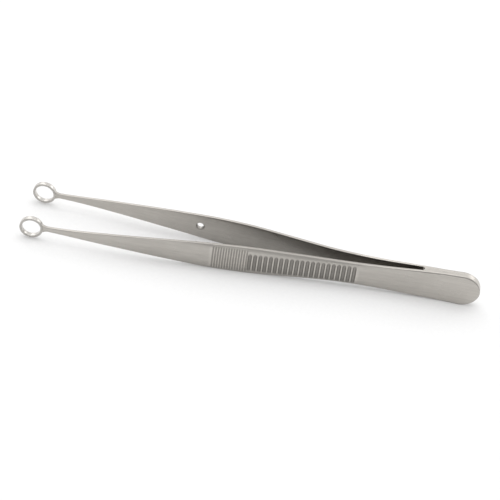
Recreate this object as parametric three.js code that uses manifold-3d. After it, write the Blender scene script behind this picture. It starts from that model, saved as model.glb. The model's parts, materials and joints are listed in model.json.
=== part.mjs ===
// Print tongs: two sprung steel arms welded to a spacer at the tail, with a ring at each tip.
// They lie on the narrow edges of the arms. Millimetres, +Z up. The tail is at +X, the tips are
// at -X, the left arm is at -Y and the right arm at +Y.
// A "station" is a distance from the tail end along the tongs.
import * as THREE from "three";
import { mergeVertices } from "three/addons/utils/BufferGeometryUtils.js";
import Module from "manifold-3d";

const wasm = await Module();
wasm.setup();

// Driving dimensions.
const LENGTH = 150;
const TAIL_HALF_WIDTH = 5.9;
const TAIL_ROUND = 6.3; // length of the elliptical tail end
const GRIP_HALF_WIDTH = 5.15;
const GRIP_STATION = 77; // the widest place of the grip
const SHEET_AT_TAIL = 0.92; // thickness of an arm along its edges
const SHEET_AT_TIP = 0.7;
const SPACER_LENGTH = 19.2;
const FLEX_STATION = 35; // where an arm bends when it is squeezed
const FLEX_GAP = 0.3; // running room between the two ends of an arm there
const WELD_GAP = 0.1; // between pieces that are welded or pressed together

const RING_RADIUS = 3.85;
const RING_BORE_RADIUS = 3.1;
const RING_THICKNESS = 1.65;
const RING_EASE = 0.15; // taken off each rim
const RING_PROUD = 0.15; // of the inner face of the arm
const RING_SPLAY = THREE.MathUtils.degToRad(2); // the rings lean apart towards the tips
const RING_STATION = LENGTH - RING_RADIUS;

const PIN_STATION = 93.4;
const PIN_RADIUS = 0.85;
const PIN_TIP_RADIUS = 0.45;
const PIN_REACH = 5.2; // beyond the inner face of its arm
const PIN_SHANK = 0.65; // straight part of the pin, as a share of its length
const PIN_TIP_ROUND = 0.25;
const PIN_SEAT_DEPTH = 0.95;
const GUIDE_HOLE_RADIUS = 1.15;
const COUNTERSINK_RADIUS = 1.5;
const COUNTERSINK_DEPTH = 0.35;

// Cross grooves of the grip: a long coarse band nearer the tail and a short fine one in front.
// A groove reaches this far to each side of the middle of the arm.
const GROOVE_BANDS = [
  { first: 41.1, pitch: 1.69, count: 21, mouth: 1.3, floor: 0.95, depth: 0.28, reach: 3.95 },
  { first: 75.94, pitch: 0.843, count: 14, mouth: 0.53, floor: 0.3, depth: 0.14, reach: 4.9 },
];

// Curves along the tongs, as [station, value] control points.
const HALF_WIDTH = [
  [TAIL_ROUND, TAIL_HALF_WIDTH],
  [20, 5.3],
  [33, 4.5],
  [46, 4.25],
  [61, 4.7],
  [GRIP_STATION, GRIP_HALF_WIDTH],
  [88, 4.85],
  [102, 3.85],
  [121, 2.25],
  [141, 0.85],
  [LENGTH, 0.8],
];
// From the centre plane to the inner face of an arm.
const BOW = [
  [12, 0.5],
  [22, 0.95],
  [34, 1.45],
  [50, 2.5],
  [66, 4.15],
  [82, 5.75],
  [98, 6.95],
  [114, 7.85],
  [130, 8.45],
  [LENGTH, 8.5],
];
// How far the middle of the outer face stands above its edges.
const CROWN = [
  [18, 0],
  [40, 0.6],
  [52, 0.8],
  [88, 0.75],
  [104, 0.48],
  [125, 0.3],
  [LENGTH, 0.14],
];
const CROWN_POWER = 4; // of the fall from the middle to the edges, flat first and then steep
const CROWN_CORNERS = [-1, -0.9, -0.75, -0.5, 0, 0.5, 0.75, 0.9, 1]; // as shares of the half width

const STATION_STEP = 2.5;
const CURVE_STEPS = 8; // between two control points of a curve
const TAIL_STEPS = 10; // round half of the tail end
const ROUND_STEPS = 36;
const TALL = 30; // of the tools that cut right through

const steel = (name, color, roughness) =>
  new THREE.MeshStandardMaterial({ name, color, roughness, metalness: 1 });
const SATIN = steel("satin_steel", 0xb9b7b2, 0.38);
const POLISHED = steel("polished_steel", 0xc6c5c1, 0.25);

const xAt = (station) => LENGTH / 2 - station;

// A curve through control points, level beyond its ends, as a function of station.
function profile(points) {
  const knots = points.map(([station, value]) => new THREE.Vector2(station, value));
  const line = new THREE.SplineCurve(knots).getPoints(points.length * CURVE_STEPS);
  return (station) => {
    const at = THREE.MathUtils.clamp(station, line[0].x, line.at(-1).x);
    const next = Math.max(1, line.findIndex((p) => p.x >= at));
    const [a, b] = [line[next - 1], line[next]];
    return THREE.MathUtils.mapLinear(at, a.x, b.x, a.y, b.y);
  };
}
const straightWidth = profile(HALF_WIDTH);
const bow = profile(BOW);
const crown = profile(CROWN);
const sheet = (station) => THREE.MathUtils.lerp(SHEET_AT_TAIL, SHEET_AT_TIP, station / LENGTH);

// The half width of the outline seen from the side, with its elliptical tail end.
function halfWidth(station) {
  const fromFull = Math.max(0, 1 - station / TAIL_ROUND);
  return straightWidth(station) * Math.sqrt(1 - fromFull ** 2);
}

// Stations between two places, closer together round the tail end.
function stations(from, to) {
  const round = Array.from({ length: TAIL_STEPS }, (_, i) => {
    const angle = ((i + 0.5) / TAIL_STEPS) * (Math.PI / 2);
    return TAIL_ROUND * (1 - Math.cos(angle));
  });
  const start = Math.max(from, TAIL_ROUND);
  const count = Math.round((to - start) / STATION_STEP);
  const straight = Array.from({ length: count + 1 }, (_, i) => start + ((to - start) * i) / count);
  return [...(from < TAIL_ROUND ? round : []), ...straight];
}

// A closed body through sections that have the same number of corners, going round -X.
function loft(sections) {
  const corners = sections[0].length;
  const last = (sections.length - 1) * corners;
  const index = [];
  for (let start = 0; start < last; start += corners) {
    for (let i = 0; i < corners; i++) {
      const next = (i + 1) % corners;
      index.push(start + i, start + corners + i, start + corners + next);
      index.push(start + i, start + corners + next, start + next);
    }
  }
  const hub = corners - 1; // of the fans of triangles that close the two ends
  for (let i = 0; i < hub - 1; i++) {
    index.push(hub, i, i + 1);
    index.push(last + hub, last + i + 1, last + i);
  }
  const points = new THREE.BufferGeometry().setFromPoints(sections.flat());
  return points.setIndex(index);
}

// A closed three.js geometry as a solid, and a solid as a geometry.
function solid(closed) {
  const merged = mergeVertices(closed.deleteAttribute("normal").deleteAttribute("uv"), 1e-4);
  return new wasm.Manifold(
    new wasm.Mesh({
      numProp: 3,
      vertProperties: new Float32Array(merged.attributes.position.array),
      triVerts: new Uint32Array(merged.index.array),
    }),
  );
}
function geometry(body) {
  const mesh = body.getMesh();
  return new THREE.BufferGeometry()
    .setAttribute("position", new THREE.BufferAttribute(mesh.vertProperties, 3))
    .setIndex(new THREE.BufferAttribute(mesh.triVerts, 1));
}

// The section of the right arm: flat inside, and crowned outside with edges that fall away.
function armSection(station) {
  const x = xAt(station);
  const half = halfWidth(station);
  const edge = bow(station) + sheet(station);
  const outer = CROWN_CORNERS.map((share) => {
    const rise = crown(station) * (1 - share ** CROWN_POWER);
    return new THREE.Vector3(x, edge + rise, share * half);
  });
  const inner = [half, -half].map((z) => new THREE.Vector3(x, bow(station), z));
  return [...outer, ...inner];
}

function spacerSection(station) {
  const reach = bow(station) - WELD_GAP;
  const half = halfWidth(station);
  const corners = [
    [reach, -half],
    [reach, half],
    [-reach, half],
    [-reach, -half],
  ];
  return corners.map(([y, z]) => new THREE.Vector3(xAt(station), y, z));
}

// A round tool along Y, which is a cone where its two radii differ.
function crossways(station, low, high, lowRadius, highRadius = lowRadius) {
  const rod = new THREE.CylinderGeometry(highRadius, lowRadius, high - low, ROUND_STEPS);
  return solid(rod.translate(xAt(station), (low + high) / 2, 0));
}

// The tools that cut the grooves. They run straight across, so a groove is shallower where the
// outer face falls away towards its edges.
function grooveTools() {
  const tools = GROOVE_BANDS.flatMap(({ first, pitch, count, mouth, floor, depth, reach }) =>
    Array.from({ length: count }, (_, i) => {
      const station = first + pitch * i;
      const section = new THREE.Shape()
        .moveTo(-floor / 2, -depth)
        .lineTo(floor / 2, -depth)
        .lineTo(mouth - floor / 2, depth)
        .lineTo(floor / 2 - mouth, depth);
      const tool = new THREE.ExtrudeGeometry(section, { depth: 2 * reach, bevelEnabled: false });
      const top = bow(station) + sheet(station) + crown(station);
      return solid(tool.translate(xAt(station), top, -reach));
    }),
  );
  return wasm.Manifold.union(tools);
}

function armRoot() {
  return loft(stations(0, FLEX_STATION - FLEX_GAP / 2).map(armSection));
}

// The free part of an arm, with room for its ring and with its grooves cut.
function armBlade() {
  const sections = stations(FLEX_STATION + FLEX_GAP / 2, RING_STATION).map(armSection);
  const ringRoom = crossways(RING_STATION, 0, TALL, RING_RADIUS + WELD_GAP);
  return solid(loft(sections)).subtract(ringRoom).subtract(grooveTools());
}

function pinSeat() {
  const face = bow(PIN_STATION);
  return crossways(PIN_STATION, 0, face + PIN_SEAT_DEPTH, PIN_RADIUS + WELD_GAP);
}

function guideHole() {
  const face = bow(PIN_STATION);
  const flare = COUNTERSINK_RADIUS - GUIDE_HOLE_RADIUS;
  const hole = crossways(PIN_STATION, 0, TALL, GUIDE_HOLE_RADIUS);
  const sink = crossways(
    PIN_STATION,
    face - COUNTERSINK_DEPTH,
    face + COUNTERSINK_DEPTH,
    COUNTERSINK_RADIUS + flare,
    GUIDE_HOLE_RADIUS,
  );
  return hole.add(sink);
}

// A lathed pin along +Y: a straight shank, a tapered nose and a rounded tip.
function guidePin() {
  const length = PIN_SEAT_DEPTH - WELD_GAP + PIN_REACH;
  const outline = [
    [0, 0],
    [PIN_RADIUS, 0],
    [PIN_RADIUS, length * PIN_SHANK],
    [PIN_TIP_RADIUS, length - PIN_TIP_ROUND],
    [PIN_TIP_RADIUS / 2, length - PIN_TIP_ROUND / 5],
    [0, length],
  ];
  return new THREE.LatheGeometry(outline.map(([r, y]) => new THREE.Vector2(r, y)), ROUND_STEPS / 2);
}

// A ring about Y, with its four rims eased.
function ring() {
  const half = RING_THICKNESS / 2;
  const side = half - RING_EASE;
  const outline = [
    [RING_BORE_RADIUS + RING_EASE, -half],
    [RING_RADIUS - RING_EASE, -half],
    [RING_RADIUS, -side],
    [RING_RADIUS, side],
    [RING_RADIUS - RING_EASE, half],
    [RING_BORE_RADIUS + RING_EASE, half],
    [RING_BORE_RADIUS, side],
    [RING_BORE_RADIUS, -side],
    [RING_BORE_RADIUS + RING_EASE, -half],
  ];
  return new THREE.LatheGeometry(outline.map(([r, y]) => new THREE.Vector2(r, y)), ROUND_STEPS);
}

function addPiece(group, name, shape, material) {
  const mesh = new THREE.Mesh(shape, material);
  mesh.name = name;
  group.add(mesh);
  return mesh;
}

const tongs = new THREE.Group();
addPiece(tongs, "tail_spacer", loft(stations(0, SPACER_LENGTH).map(spacerSection)), SATIN);

// Both arms have one shape. The left one is turned half round the long axis.
for (const [side, turn] of [["left", Math.PI], ["right", 0]]) {
  const arm = new THREE.Group();
  arm.rotation.x = turn;
  tongs.add(arm);
  const fitting = side === "left" ? pinSeat() : guideHole();
  addPiece(arm, `${side}_arm_root`, armRoot(), SATIN);
  addPiece(arm, `${side}_arm_blade`, geometry(armBlade().subtract(fitting)), SATIN);
  const tip = addPiece(arm, `${side}_ring`, ring(), SATIN);
  tip.position.set(xAt(RING_STATION), bow(RING_STATION) - RING_PROUD + RING_THICKNESS / 2, 0);
  tip.rotation.z = -RING_SPLAY;
}

const pin = addPiece(tongs, "guide_pin", guidePin(), POLISHED);
pin.position.set(xAt(PIN_STATION), WELD_GAP - bow(PIN_STATION) - PIN_SEAT_DEPTH, 0);

// The tail is wider than the grip, so the tongs lie with their tips a little low. The origin is
// under the middle of their box, on the surface that they lie on.
tongs.rotation.y = -Math.atan((TAIL_HALF_WIDTH - GRIP_HALF_WIDTH) / (GRIP_STATION - TAIL_ROUND));
tongs.updateMatrixWorld(true);
const box = new THREE.Box3().setFromObject(tongs, true);
const middle = box.getCenter(new THREE.Vector3());
tongs.position.set(-middle.x, -middle.y, -box.min.z);

const part = new THREE.Group();
part.add(tongs);
export default part;
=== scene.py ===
"""The looks of the print tongs: fine steel arms, rings, spacer and guide pin round the CAD frame.

The shape is worked out in the tongs' own axes, in millimetres: X runs from the tips to the tail
with 0 halfway, Y across the two arms and Z across their width. LIE takes it to the row frame.
A "station" is a distance from the tail end along the tongs.
"""

import json
import math

import bmesh
import bpy
import numpy as np
from mathutils import Matrix, Vector


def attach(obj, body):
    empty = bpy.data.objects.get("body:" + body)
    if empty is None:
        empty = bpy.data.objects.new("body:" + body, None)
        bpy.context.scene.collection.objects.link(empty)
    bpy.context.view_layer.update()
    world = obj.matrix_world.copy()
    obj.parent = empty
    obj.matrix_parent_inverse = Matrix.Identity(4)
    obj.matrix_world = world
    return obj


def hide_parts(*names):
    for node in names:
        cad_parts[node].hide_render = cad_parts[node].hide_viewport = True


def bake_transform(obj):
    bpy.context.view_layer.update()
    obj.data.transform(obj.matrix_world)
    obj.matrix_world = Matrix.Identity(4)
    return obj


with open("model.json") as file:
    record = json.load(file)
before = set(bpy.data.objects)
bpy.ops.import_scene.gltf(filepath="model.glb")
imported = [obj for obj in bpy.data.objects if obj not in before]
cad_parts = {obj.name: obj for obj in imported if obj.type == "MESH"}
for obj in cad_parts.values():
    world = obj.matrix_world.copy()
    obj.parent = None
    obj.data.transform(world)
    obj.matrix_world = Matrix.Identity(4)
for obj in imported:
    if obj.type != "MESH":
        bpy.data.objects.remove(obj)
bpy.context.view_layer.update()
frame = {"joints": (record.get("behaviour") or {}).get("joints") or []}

# ---------------------------------------------------------------- dimensions, as in the CAD part

LENGTH = 150.0
TAIL_HALF_WIDTH = 5.9
TAIL_ROUND = 6.3
SHEET_AT_TAIL = 0.92
SHEET_AT_TIP = 0.7
SPACER_LENGTH = 19.2
FLEX_STATION = 35.0
RING_RADIUS = 3.85
RING_BORE_RADIUS = 3.1
RING_THICKNESS = 1.65
RING_PROUD = 0.15
RING_SPLAY = math.radians(2)
RING_STATION = LENGTH - RING_RADIUS
PIN_STATION = 93.4
PIN_RADIUS = 0.85
PIN_TIP_RADIUS = 0.45
PIN_REACH = 5.2
PIN_SUNK = 0.85  # in its arm
GUIDE_HOLE_RADIUS = 1.15
COUNTERSINK_RADIUS = 1.5
COUNTERSINK_DEPTH = 0.35

# "drop" is how far a band sits below the middle, "run_out" how long a groove takes to fade at its
# ends, "rounding" how much shorter its walls are, and "contrast" how strong its darker finish,
# painted shade and painted ridge highlight are.
GROOVE_BANDS = [
    {"first": 41.1, "pitch": 1.69, "count": 21, "mouth": 1.3, "floor": 0.95, "depth": 0.28,
     "reach": 3.95, "drop": 0.45, "run_out": 0.7, "rounding": 0.7, "contrast": 1.0},
    {"first": 75.94, "pitch": 0.843, "count": 14, "mouth": 0.53, "floor": 0.3, "depth": 0.14,
     "reach": 4.9, "drop": 0.0, "run_out": 0.8, "rounding": 0.2, "contrast": 0.65},
]

# Curves along the tongs, as (station, value).
HALF_WIDTH = [(6.3, 5.9), (20, 5.3), (33, 4.5), (46, 4.25), (61, 4.7), (77, 5.15), (88, 4.85),
              (102, 3.85), (121, 2.25), (141, 0.85), (150, 0.8)]
BOW = [(12, 0.5), (22, 0.95), (34, 1.45), (50, 2.5), (66, 4.15), (82, 5.75), (98, 6.95),
       (114, 7.85), (130, 8.45), (150, 8.5)]
CROWN = [(18, 0.0), (40, 0.6), (52, 0.8), (88, 0.75), (104, 0.48), (125, 0.3), (150, 0.14)]
# The crown is flat-topped at the grip and round on the blade.
CROWN_POWER = [(88, 3.5), (100, 2.2)]

# What the fine surface adds.
OUTER_EDGE_RADIUS = [(22, 0.42), (42, 0.14)]
OUTER_EDGE_LIMIT = 0.3  # as a share of the half width, where an arm is narrow
INNER_EDGE_RADIUS = 0.05
INNER_EDGE_LIMIT = 0.2
NECK_START = 140.6  # where an arm begins to flare into its ring
NECK_END = 143.1  # inside the wall of the ring
NECK_HALF_WIDTH = 1.75
NECK_THICKENING = 0.45
NECK_SINK = 0.09  # towards the inner face of the ring
RING_EASE = 0.2  # radius of the rims of a ring
SPACER_FILLET = 0.5
SPACER_SUNK = 0.02
PIN_SHANK = 0.6  # straight part of the pin, as a share of its reach
PIN_TIP_HEIGHT = 0.8  # of its round tip, as a share of the tip's radius
PIN_TAPER_POWER = 1.3
FLEX_ZONE = (18.7, 58.0)  # stations between which an arm bends

# How finely the surfaces are divided.
FACE_STEPS = 31
INSIDE_STEPS = 13
NECK_STEPS = 12
SPACER_STEPS = 13
SPACER_OUTLINE_STEPS = 40
SHARP_DEGREES = 35
TOUCH = 0.01  # points nearer than this count as being in the same place

# How bright the steel is under each mark, against the ground faces: painted shade inside,
# polish and painted highlights, painted ridge highlights, and darker grooves with painted shade.
INSIDE_SHADE_TONE = 0.66
POLISH_AND_HIGHLIGHT_TONE = 1.5
RIDGE_HIGHLIGHT_TONE = 1.25
GROOVE_AND_SHADE_TONE = 0.42
MIDDLE_RELIEF = 0.35  # how much less dark the middle of a groove is than the foot of its walls

# Where the inside face of an arm gets painted shade, for the shadow and dark reflections
# between the arms: it comes in and goes out between these stations.
INSIDE_SHADE_IN = (25, 50)
INSIDE_SHADE_OUT = (58, 113)
# The broken outer edge at the tail gets a painted dark line, a painted reflection of the
# dimmer front of the room, which fades between these stations.
EDGE_LINE = 0.5
EDGE_LINE_OUT = (16, 30)
# How much polish and painted highlight each piece gets along the tongs, and how much painted
# shade darkens the edges of the left arm.
# The right arm's top edge between stations 23 and 36 gets a painted glint; the faces get painted
# highlights near the tail end and the tip.
EDGE_POLISH_AND_HIGHLIGHT = {-1: [(18, 0.4), (24, 0.0), (118, 0.0), (130, 0.15)],
               1: [(18, 0.4), (23, 1.5), (36, 1.5), (42, 0.2)]}
LEFT_EDGE_SHADE = [(20, 0.0), (28, 0.1), (112, 0.15), (134, 0.0)]
FACE_HIGHLIGHT = [(12, 0.2), (30, 0.0), (120, 0.05), (138, 0.15)]
# The spacer gets polish and a painted sheen, for the bright top strip at the tail.
SPACER_POLISH_AND_SHEEN = 0.45
# The ring's outer band and bore get polish and a painted sheen, so its flat rims read darker.
RING_POLISH_AND_SHEEN = 0.65

# ---------------------------------------------------------------- measures along the tongs


def profile(points):
    """A smooth curve through (station, value) points, level beyond its ends."""
    s = np.array([p[0] for p in points], float)
    v = np.array([p[1] for p in points], float)
    slope = np.gradient(v, s)

    def at(station):
        x = np.clip(np.asarray(station, float), s[0], s[-1])
        i = np.clip(np.searchsorted(s, x) - 1, 0, len(s) - 2)
        h = s[i + 1] - s[i]
        t = (x - s[i]) / h
        rise = v[i + 1] - v[i]
        cubic = (h * (slope[i] + slope[i + 1]) - 2 * rise) * t**3
        square = (3 * rise - h * (2 * slope[i] + slope[i + 1])) * t**2
        return v[i] + h * slope[i] * t + square + cubic

    return at


straight_width = profile(HALF_WIDTH)
bow = profile(BOW)
crown = profile(CROWN)
crown_power = profile(CROWN_POWER)
outer_edge_radius = profile(OUTER_EDGE_RADIUS)


def sheet(station):
    return SHEET_AT_TAIL + (SHEET_AT_TIP - SHEET_AT_TAIL) * np.asarray(station) / LENGTH


def neck_share(station):
    """0 along the arm, rising to 1 where it meets its ring."""
    return np.clip((np.asarray(station) - NECK_START) / (NECK_END - NECK_START), 0, 1) ** 2


def half_width(station):
    from_full = np.clip(1 - np.asarray(station) / TAIL_ROUND, 0, 1)
    width = straight_width(station) * np.sqrt(1 - from_full**2)
    return width + (NECK_HALF_WIDTH - width) * neck_share(station)


def resampled(values, count):
    """The same run of values with another number of them."""
    return np.interp(np.linspace(0, len(values) - 1, count), range(len(values)), values)


def smoothstep(x):
    x = np.clip(x, 0, 1)
    return x * x * (3 - 2 * x)


def ramp(station, start, end):
    """0 before a station, rising smoothly to 1 at another."""
    return smoothstep((station - start) / (end - start))


def grooves(station, z):
    """How deep the outer face is cut at a station and a height, how dark it is and how much
    painted highlight it gets.

    A groove is darker in its finish and darkest along the foot of its walls, where painted shade
    is added. The ridges between the grooves get a painted highlight.
    """
    depth, dark, ridge_highlight = np.zeros((3, *np.broadcast(station, z).shape))
    for band in GROOVE_BANDS:
        nearest = np.round((station - band["first"]) / band["pitch"])
        nearest = np.clip(nearest, 0, band["count"] - 1)
        offset = np.abs(station - band["first"] - nearest * band["pitch"])
        wall = (band["mouth"] - band["floor"]) / 2
        across = smoothstep((band["mouth"] / 2 - offset) / wall)
        reach = band["reach"] - band["rounding"] * (offset / (band["mouth"] / 2)) ** 2
        ends = smoothstep((reach - np.abs(z + band["drop"])) / band["run_out"])
        to_wall = np.clip(offset / (band["floor"] / 2), 0, 1)
        depth = np.maximum(depth, band["depth"] * across * ends)
        shade = band["contrast"] * ends
        # The foot of each groove wall gets painted shade on top of the groove's darker finish.
        dark = np.maximum(dark, shade * across * (1 - MIDDLE_RELIEF * (1 - to_wall**2)))
        # The ridges between the grooves get a painted highlight.
        on_ridge = (offset > band["mouth"] / 2 - TOUCH) & (offset < band["pitch"] / 2 + TOUCH)
        ridge_highlight = np.maximum(ridge_highlight, shade * on_ridge)
    return depth, dark, ridge_highlight


def arm_stations():
    """Close together round the tail end and over the grooves, and wider apart elsewhere."""
    round_end = TAIL_ROUND * (1 - np.cos(np.radians(np.arange(4.6, 90, 3.9))))
    plain = np.arange(TAIL_ROUND, NECK_START, 1.0)
    neck = np.linspace(NECK_START, NECK_END, NECK_STEPS)
    cuts = []
    for band in GROOVE_BANDS:
        half_mouth, half_floor = band["mouth"] / 2, band["floor"] / 2
        half_ridge = (band["pitch"] - band["mouth"]) / 2
        wall = half_mouth - half_floor
        steps = [0, half_floor / 2, half_floor, half_floor + wall / 3, half_floor + 2 * wall / 3,
                 half_mouth, half_mouth + half_ridge / 2, half_mouth + half_ridge]
        for i in range(band["count"]):
            centre = band["first"] + i * band["pitch"]
            cuts += [centre + side * step for side in (-1, 1) for step in steps]
    cuts = np.array(cuts)
    plain = plain[(plain < cuts.min() - 0.3) | (plain > cuts.max() + 0.3)]
    every = np.sort(np.concatenate([round_end, plain, cuts, neck]))
    return every[np.concatenate([[True], np.diff(every) > 0.02])]


# ---------------------------------------------------------------- from the tongs to the frame

hinge = next(j for j in frame["joints"] if j["name"] == "right_arm_flex")
up = Vector(hinge["axis"]).normalized()
along = Vector((0, 1, 0)).cross(up)
turn = Matrix((along, (0, 1, 0), up)).transposed().to_4x4()
pivot = Vector((LENGTH / 2 - FLEX_STATION, 0, 0)) / 1000
seat = Vector((hinge["pos_m"][0], 0, hinge["pos_m"][2])) - turn @ pivot
LIE = Matrix.Translation(seat) @ turn @ Matrix.Scale(0.001, 4)


def frame_point(station, y=0.0, z=0.0):
    return LIE @ Vector((LENGTH / 2 - station, y, z))


# ---------------------------------------------------------------- meshes


def new_piece(name, rings, closed_ends=True):
    """A mesh through rings of points, an array of (rings, points, 3) in the tongs' own axes."""
    count, around = rings.shape[:2]
    mesh = bpy.data.meshes.new(name)
    index = np.arange(count * around).reshape(count, around)
    here, beyond = index[:-1], index[1:]
    quads = np.stack([here, beyond, np.roll(beyond, -1, 1), np.roll(here, -1, 1)], -1)
    faces = quads.reshape(-1, 4).tolist()
    if closed_ends:
        faces += [index[0].tolist(), index[-1][::-1].tolist()]
    mesh.from_pydata([tuple(LIE @ Vector(p)) for p in rings.reshape(-1, 3)], [], faces)
    piece = bpy.data.objects.new(name, mesh)
    bpy.context.scene.collection.objects.link(piece)
    tidy_mesh(mesh)
    return piece


def tidy_mesh(mesh):
    """Joins points that meet, turns the faces out and keeps sharp edges sharp."""
    work = bmesh.new()
    work.from_mesh(mesh)
    bmesh.ops.remove_doubles(work, verts=work.verts, dist=1e-7)
    on_axis = [edge for edge in work.edges if not edge.link_faces]  # of a turned shape
    bmesh.ops.delete(work, geom=on_axis, context="EDGES")
    bmesh.ops.recalc_face_normals(work, faces=work.faces)
    work.to_mesh(mesh)
    work.free()
    mesh.shade_smooth()
    mesh.set_sharp_from_angle(angle=math.radians(SHARP_DEGREES))


def quarter(centre_y, centre_z, radius, start, steps=3):
    """A quarter round of (y, z) points, from an angle given in degrees, turning to the left."""
    angles = np.radians(start + np.linspace(0, 90, steps + 1))
    return [(centre_y + radius * math.cos(a), centre_z + radius * math.sin(a)) for a in angles]


def arm_section(station):
    """The section of the right arm at a station, as a ring of (y, z) points."""
    half = float(half_width(station))
    low = float(bow(station))
    neck = float(neck_share(station))
    low -= NECK_SINK * neck
    edge = low + float(sheet(station)) + NECK_THICKENING * neck
    rise = float(crown(station))
    outer_round = min(float(outer_edge_radius(station)), half * OUTER_EDGE_LIMIT)
    inner_round = min(INNER_EDGE_RADIUS, half * INNER_EDGE_LIMIT)
    reach = half - outer_round
    shares = np.sin(np.linspace(-math.pi / 2, math.pi / 2, FACE_STEPS))
    heights = rise * (1 - np.abs(shares * reach / half) ** float(crown_power(station)))
    heights = heights - grooves(station, shares * reach)[0]
    face = [(edge + h, share * reach) for h, share in zip(heights, shares)]
    shoulder = edge + heights[-1] - outer_round
    top_outer = quarter(shoulder, reach, outer_round, 0)
    top_inner = quarter(low + inner_round, half - inner_round, inner_round, 90)
    flat = half - inner_round
    inside = [(low, z) for z in np.linspace(flat, -flat, INSIDE_STEPS)]
    bottom_inner = quarter(low + inner_round, inner_round - half, inner_round, 180)
    bottom_outer = quarter(shoulder, -reach, outer_round, 270)
    return face[:-1] + top_outer + top_inner[:-1] + inside[:-1] + bottom_inner + bottom_outer[:-1]


def arm_rings(side):
    rings = []
    for station in arm_stations():
        x = LENGTH / 2 - station
        rings.append([(x, side * y, z) for y, z in arm_section(station)])
    return np.array(rings)


def lathe(name, outline, around, place):
    """A closed outline of (radius, height) points turned about local Y, then placed."""
    rings = []
    for angle in np.linspace(0, 2 * math.pi, around, endpoint=False):
        c, s = math.cos(angle), math.sin(angle)
        rings.append([place @ Vector((r * c, h, r * s)) for r, h in outline])
    rings.append(rings[0])
    return new_piece(name, np.array(rings), closed_ends=False)


def rounded_rectangle(low_r, high_r, low_h, high_h, radius, steps=5):
    corners = [(high_r - radius, low_h + radius, 270), (high_r - radius, high_h - radius, 0),
               (low_r + radius, high_h - radius, 90), (low_r + radius, low_h + radius, 180)]
    return [point for r, h, start in corners for point in quarter(r, h, radius, start, steps)]


def cut_away(piece, cutter):
    """Cuts one mesh out of another, and removes the cutter."""
    boolean = piece.modifiers.new("cut", "BOOLEAN")
    boolean.object = cutter
    boolean.operation = "DIFFERENCE"
    boolean.solver = "EXACT"
    bpy.context.view_layer.update()
    evaluated = piece.evaluated_get(bpy.context.evaluated_depsgraph_get())
    mesh = bpy.data.meshes.new_from_object(evaluated)
    piece.modifiers.clear()
    piece.data = mesh
    bpy.data.objects.remove(cutter)
    tidy_mesh(mesh)


def own_points(piece):
    """The points of a piece in the tongs' own axes, as an array."""
    back = LIE.inverted()
    return np.array([back @ v.co for v in piece.data.vertices])


def mark(piece, name, share):
    """Stores a number from 0 to 1 on each point, for the material."""
    layer = piece.data.attributes.new(name, "FLOAT", "POINT")
    layer.data.foreach_set("value", np.asarray(share, np.float32))


def mark_arm(piece, side):
    """Marks the colour: dark grooves and painted shade, polish and painted highlights.

    The walls of the guide hole are dark at its two sides only, where no light comes in.
    """
    x, y, z = own_points(piece).T
    station = LENGTH / 2 - x
    out = side * y - bow(station)
    half = half_width(station)
    _, dark, ridge_highlight = grooves(station, z)
    on_face = out > sheet(station) * 0.7
    on_edge = np.abs(z) > half - INNER_EDGE_RADIUS / 2
    on_corner = (np.abs(z) > half - outer_edge_radius(station)) & (out > sheet(station) / 2)
    on_corner = on_corner & (np.abs(z) < half - INNER_EDGE_RADIUS / 2)
    in_hole = (side > 0) & (np.hypot(station - PIN_STATION, z) < GUIDE_HOLE_RADIUS * 1.02)
    hole_shade = in_hole * np.clip(np.abs(station - PIN_STATION) / GUIDE_HOLE_RADIUS, 0, 1)
    # Painted dark reflection along the outer edge corner at the tail.
    corner_shade = on_corner * EDGE_LINE * (1 - ramp(station, *EDGE_LINE_OUT))
    # Painted shade on the left arm's edges.
    edge_shade = on_edge * (side < 0) * profile(LEFT_EDGE_SHADE)(station)
    inside_shade = ramp(station, *INSIDE_SHADE_IN) * (1 - ramp(station, *INSIDE_SHADE_OUT))
    edge_polish_and_highlight = profile(EDGE_POLISH_AND_HIGHLIGHT[side])(station)
    face_highlight = profile(FACE_HIGHLIGHT)(station) * on_face
    # dark holds the grooves' darker finish and painted shade at groove walls, guide hole, tail edge
    # corner and left edges.
    mark(piece, "dark", np.maximum.reduce([dark * on_face, hole_shade, corner_shade, edge_shade]))
    # The ridges get a painted highlight.
    mark(piece, "ridge_highlight", ridge_highlight * on_face)
    # The inside face gets painted shade, for the shadow and dark reflections between the arms.
    mark(piece, "inside", (out < INNER_EDGE_RADIUS / 2) * inside_shade)
    # Edges get polish and painted highlights; faces get painted highlights near their ends.
    mark(piece, "polish_and_highlight", np.where(on_edge, edge_polish_and_highlight, face_highlight))


def make_arm(name, side):
    return new_piece(name, arm_rings(side))


def make_ring(name, side):
    y = side * (float(bow(RING_STATION)) - RING_PROUD + RING_THICKNESS / 2)
    place = Matrix.Translation((LENGTH / 2 - RING_STATION, y, 0))
    place = place @ Matrix.Rotation(-side * RING_SPLAY, 4, "Z")
    half = RING_THICKNESS / 2
    outline = rounded_rectangle(RING_BORE_RADIUS, RING_RADIUS, -half, half, RING_EASE)
    ring = lathe(name, outline, 96, place)
    from_middle = np.array([place.inverted() @ Vector(p) for p in own_points(ring)])
    # Polish and a painted sheen on the outer band and bore; the flat rims are left darker.
    mark(ring, "polish_and_highlight", RING_POLISH_AND_SHEEN * (np.abs(from_middle[:, 1]) < half - RING_EASE * 0.8))
    return ring


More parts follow.
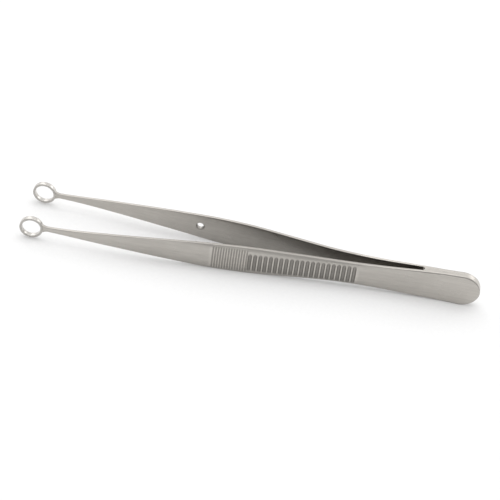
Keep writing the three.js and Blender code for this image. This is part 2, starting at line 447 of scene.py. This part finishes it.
def make_spacer():
    """The wedge between the tails. Its front end is hollow, with a weld fillet against each arm."""
    rings = []
    for share in np.linspace(-1, 1, SPACER_STEPS):
        front = SPACER_LENGTH + SPACER_FILLET * (share**2 - 0.5)
        top = [s for s in arm_stations() if s < front - 0.3] + [front]
        top = resampled(top, SPACER_OUTLINE_STEPS)
        outline = [(s, float(half_width(s)) - SPACER_SUNK) for s in top]
        outline += [(s, -z) for s, z in reversed(outline)]
        rings.append([(LENGTH / 2 - s, share * float(bow(s)), z) for s, z in outline])
    spacer = new_piece("spacer_wedge", np.array(rings))
    # Polish and a painted sheen over the whole spacer.
    mark(spacer, "polish_and_highlight", np.full(len(spacer.data.vertices), SPACER_POLISH_AND_SHEEN))
    return spacer


def make_pin():
    """The guide pin: a straight shank sunk in its arm, a taper and a round tip."""
    base = -float(bow(PIN_STATION))
    tip = base + PIN_REACH
    nose = base + PIN_REACH * PIN_SHANK
    tip_height = PIN_TIP_RADIUS * PIN_TIP_HEIGHT
    taper_end = tip - tip_height
    outline = [(0, base - PIN_SUNK), (PIN_RADIUS, base - PIN_SUNK)]
    outline += [(PIN_RADIUS, nose)]
    for share in np.linspace(0.2, 1, 5):
        radius = PIN_RADIUS + (PIN_TIP_RADIUS - PIN_RADIUS) * share**PIN_TAPER_POWER
        outline.append((radius, nose + (taper_end - nose) * share))
    for angle in np.radians(np.arange(15, 90, 15)):
        height = taper_end + tip_height * math.sin(angle)
        outline.append((PIN_TIP_RADIUS * math.cos(angle), height))
    outline.append((0, tip))
    return lathe("pin", outline, 40, Matrix.Translation((LENGTH / 2 - PIN_STATION, 0, 0)))


def make_hole_cutter():
    """A cutter for the guide hole and the countersink on the inner face of the right arm."""
    face = float(bow(PIN_STATION))
    flare = (COUNTERSINK_RADIUS - GUIDE_HOLE_RADIUS) / COUNTERSINK_DEPTH
    before, beyond = face - 2, face + 4  # clear of the arm on both sides
    outline = [(0, before), (COUNTERSINK_RADIUS + flare * 2, before),
               (GUIDE_HOLE_RADIUS, face + COUNTERSINK_DEPTH), (GUIDE_HOLE_RADIUS, beyond),
               (0, beyond)]
    return lathe("cutter", outline, 64, Matrix.Translation((LENGTH / 2 - PIN_STATION, 0, 0)))


# ---------------------------------------------------------------- materials


class Nodes:
    """A short way to write a material's nodes."""

    def __init__(self, name):
        self.material = bpy.data.materials.new(name)
        self.material.use_nodes = True
        self.tree = self.material.node_tree
        self.shader = self.tree.nodes["Principled BSDF"]
        self.place = self.add("ShaderNodeTexCoord").outputs["Object"]

    def add(self, kind, **settings):
        node = self.tree.nodes.new(kind)
        for key, value in settings.items():
            if key in node.inputs:
                node.inputs[key].default_value = value
            else:
                setattr(node, key, value)
        return node

    def link(self, out, socket):
        self.tree.links.new(out, socket)

    def attribute(self, name):
        return self.add("ShaderNodeAttribute", attribute_name=name).outputs["Fac"]

    def noise(self, scale, detail, roughness=0.5):
        """Noise with a scale for each axis, in features per metre."""
        mapping = self.add("ShaderNodeMapping", Scale=scale)
        self.link(self.place, mapping.inputs["Vector"])
        noise = self.add("ShaderNodeTexNoise", Scale=1.0, Detail=detail, Roughness=roughness)
        self.link(mapping.outputs["Vector"], noise.inputs["Vector"])
        return noise.outputs["Fac"]

    def ranged(self, value, low, high, from_low=0.3, from_high=0.7):
        node = self.add("ShaderNodeMapRange")
        self.link(value, node.inputs["Value"])
        limits = (from_low, from_high, low, high)
        for name, limit in zip(("From Min", "From Max", "To Min", "To Max"), limits):
            node.inputs[name].default_value = limit
        return node.outputs["Result"]

    def math(self, operation, a, b):
        node = self.add("ShaderNodeMath", operation=operation)
        for socket, value in zip(node.inputs, (a, b)):
            if isinstance(value, (int, float)):
                socket.default_value = value
            else:
                self.link(value, socket)
        return node.outputs[0]

    def mix(self, share, a, b):
        """A colour from a to b, or past b where share is over 1. Each is a colour or a socket."""
        node = self.add("ShaderNodeMix", data_type="RGBA", clamp_factor=False)
        self.link(share, node.inputs[0])
        for socket, value in zip((node.inputs[6], node.inputs[7]), (a, b)):
            if isinstance(value, tuple):
                socket.default_value = (*value, 1)
            else:
                self.link(value, socket)
        return node.outputs[2]

    def bump(self, height, distance_mm):
        node = self.add("ShaderNodeBump", Distance=distance_mm / 1000, Strength=1.0)
        self.link(height, node.inputs["Height"])
        return node.outputs["Normal"]


def ground_steel(name, steel, smooth, rough, grain):
    """Satin steel with grinding lines. grain is how fine they are along X, Y and Z, per metre."""
    n = Nodes(name)
    lines = n.noise(grain, 6, 0.65)
    streaks = n.noise(tuple(scale / 4 for scale in grain), 4, 0.6)
    clouds = n.noise((60, 90, 90), 3)
    handling = n.noise((220, 260, 260), 4)
    dark, ridge_highlight, inside, polish_and_highlight = map(n.attribute, ("dark", "ridge_highlight", "inside", "polish_and_highlight"))
    tone = n.math("MULTIPLY", n.ranged(lines, 0.93, 1.07), n.ranged(streaks, 0.95, 1.05))
    tone = n.math("MULTIPLY", tone, n.ranged(clouds, 1.02, 0.98))
    # Each mark scales the colour: painted shade inside, polish and painted highlights, painted
    # ridge highlights, darker grooves with painted shade.
    for share, mark_tone in ((inside, INSIDE_SHADE_TONE), (polish_and_highlight, POLISH_AND_HIGHLIGHT_TONE), (ridge_highlight, RIDGE_HIGHLIGHT_TONE),
                          (dark, GROOVE_AND_SHADE_TONE)):
        tone = n.math("MULTIPLY", tone, n.ranged(share, 1, mark_tone, 0, 1))
    colour = n.mix(tone, (0, 0, 0), steel)
    roughness = n.ranged(handling, smooth, rough)
    roughness = n.math("ADD", roughness, n.ranged(lines, -0.05, 0.05))
    roughness = n.math("ADD", roughness, n.math("MULTIPLY", dark, 0.2))
    roughness = n.math("SUBTRACT", roughness, n.math("MULTIPLY", polish_and_highlight, 0.06))
    n.link(colour, n.shader.inputs["Base Color"])
    n.link(roughness, n.shader.inputs["Roughness"])
    n.shader.inputs["Metallic"].default_value = 1.0
    n.link(n.bump(lines, 0.006), n.shader.inputs["Normal"])
    return n.material


def floor_material():
    """Pale acrylic, lit a little from below, as on a product table."""
    n = Nodes("pale_acrylic")
    tooth = n.noise((900, 900, 900), 4)
    colour = n.mix(n.ranged(tooth, 0, 1), (0.71, 0.71, 0.71), (0.73, 0.73, 0.73))
    n.shader.inputs["Emission Color"].default_value = (1, 1, 1, 1)
    n.shader.inputs["Emission Strength"].default_value = 0.16
    n.link(colour, n.shader.inputs["Base Color"])
    n.shader.inputs["Roughness"].default_value = 0.9
    n.shader.inputs["Specular IOR Level"].default_value = 0.1
    n.link(n.bump(tooth, 0.01), n.shader.inputs["Normal"])
    return n.material


def set_material(piece, material):
    piece.data.materials.clear()
    piece.data.materials.append(material)


# ---------------------------------------------------------------- the object

ARM_STEEL = ground_steel("satin_steel", (0.458, 0.436, 0.405), 0.28, 0.38, (70, 5200, 5200))
RING_STEEL = ground_steel("ring_steel", (0.46, 0.443, 0.42), 0.26, 0.36, (1800, 1800, 1800))
PIN_STEEL = ground_steel("polished_steel", (0.62, 0.61, 0.59), 0.16, 0.24, (400, 6000, 400))

for side_name, side in (("left", -1), ("right", 1)):
    body = f"{side_name}_arm"
    arm = make_arm(f"{side_name}_spring_arm", side)
    if side > 0:
        cut_away(arm, make_hole_cutter())
    mark_arm(arm, side)
    set_material(arm, ARM_STEEL)
    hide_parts(f"{side_name}_arm_root", f"{side_name}_arm_blade")
    start, end = (frame_point(station, side * float(bow(station))) for station in FLEX_ZONE)
    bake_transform(arm)

    ring = make_ring(f"{side_name}_tip_ring", side)
    set_material(ring, RING_STEEL)
    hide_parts(f"{side_name}_ring")
    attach(ring, body)

spacer = make_spacer()
set_material(spacer, ARM_STEEL)
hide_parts("tail_spacer")
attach(spacer, "tail")

pin = make_pin()
set_material(pin, PIN_STEEL)
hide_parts("guide_pin")
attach(pin, "left_arm")

# ---------------------------------------------------------------- floor, light and camera

FLOOR_SIZE = 4.0
bpy.ops.mesh.primitive_plane_add(size=FLOOR_SIZE)
floor = bpy.context.object
floor.name = "floor"
set_material(floor, floor_material())


def studio_world(front, back):
    """A white surround that is less bright on the front side, -Y, than at the back."""
    world = bpy.data.worlds.new("studio")
    world.use_nodes = True
    nodes, links = world.node_tree.nodes, world.node_tree.links
    direction = nodes.new("ShaderNodeTexCoord").outputs["Generated"]
    split = nodes.new("ShaderNodeSeparateXYZ")
    links.new(direction, split.inputs[0])
    fade = nodes.new("ShaderNodeMapRange")
    fade.interpolation_type = "SMOOTHSTEP"
    links.new(split.outputs["Y"], fade.inputs["Value"])
    for name, limit in (("From Min", -0.7), ("From Max", 0.3), ("To Min", front), ("To Max", back)):
        fade.inputs[name].default_value = limit
    surround = nodes["Background"]
    surround.inputs["Color"].default_value = (1, 1, 1, 1)
    links.new(fade.outputs["Result"], surround.inputs["Strength"])
    bpy.context.scene.world = world


studio_world(front=0.6, back=1.05)


def softbox(name, place, size, watts):
    light = bpy.data.lights.new(name, "AREA")
    light.shape = "RECTANGLE"
    light.size, light.size_y = size
    light.energy = watts
    lamp = bpy.data.objects.new(name, light)
    bpy.context.scene.collection.objects.link(lamp)
    lamp.location = place
    lamp.rotation_euler = (-Vector(place)).to_track_quat("-Z", "Y").to_euler()


softbox("overhead", (0.0, 0.1, 1.3), (1.3, 1.0), 5.8)
softbox("back_left", (-0.7, 0.8, 0.9), (0.9, 0.9), 2.0)
softbox("back_right", (0.9, 0.9, 0.6), (0.7, 0.5), 1.2)

CAMERA_AZIMUTH = math.radians(3.36)
CAMERA_ELEVATION = math.radians(40.0)
CAMERA_ROLL = math.radians(8.4)
CAMERA_DISTANCE = 603.0
CAMERA_AIM = Vector((-0.56, 0.5, -0.99))
SENSOR = 36.0
LENS = 133.4

camera_data = bpy.data.cameras.new("camera")
camera_data.sensor_width = SENSOR
camera_data.lens = LENS
camera_data.clip_start = 0.01
camera_data.clip_end = 20.0
camera = bpy.data.objects.new("camera", camera_data)
bpy.context.scene.collection.objects.link(camera)
look = Matrix.Rotation(CAMERA_AZIMUTH, 4, "Z")
look = look @ Matrix.Rotation(math.pi / 2 - CAMERA_ELEVATION, 4, "X")
look = look @ Matrix.Rotation(CAMERA_ROLL, 4, "Z")
aim = Vector((0, 0, CAMERA_AIM.z)) + look @ Vector((CAMERA_AIM.x, CAMERA_AIM.y, CAMERA_DISTANCE))
camera.matrix_world = Matrix.Translation(LIE @ aim) @ turn @ look
bpy.context.scene.camera = camera

bpy.context.scene.view_settings.view_transform = "Standard"
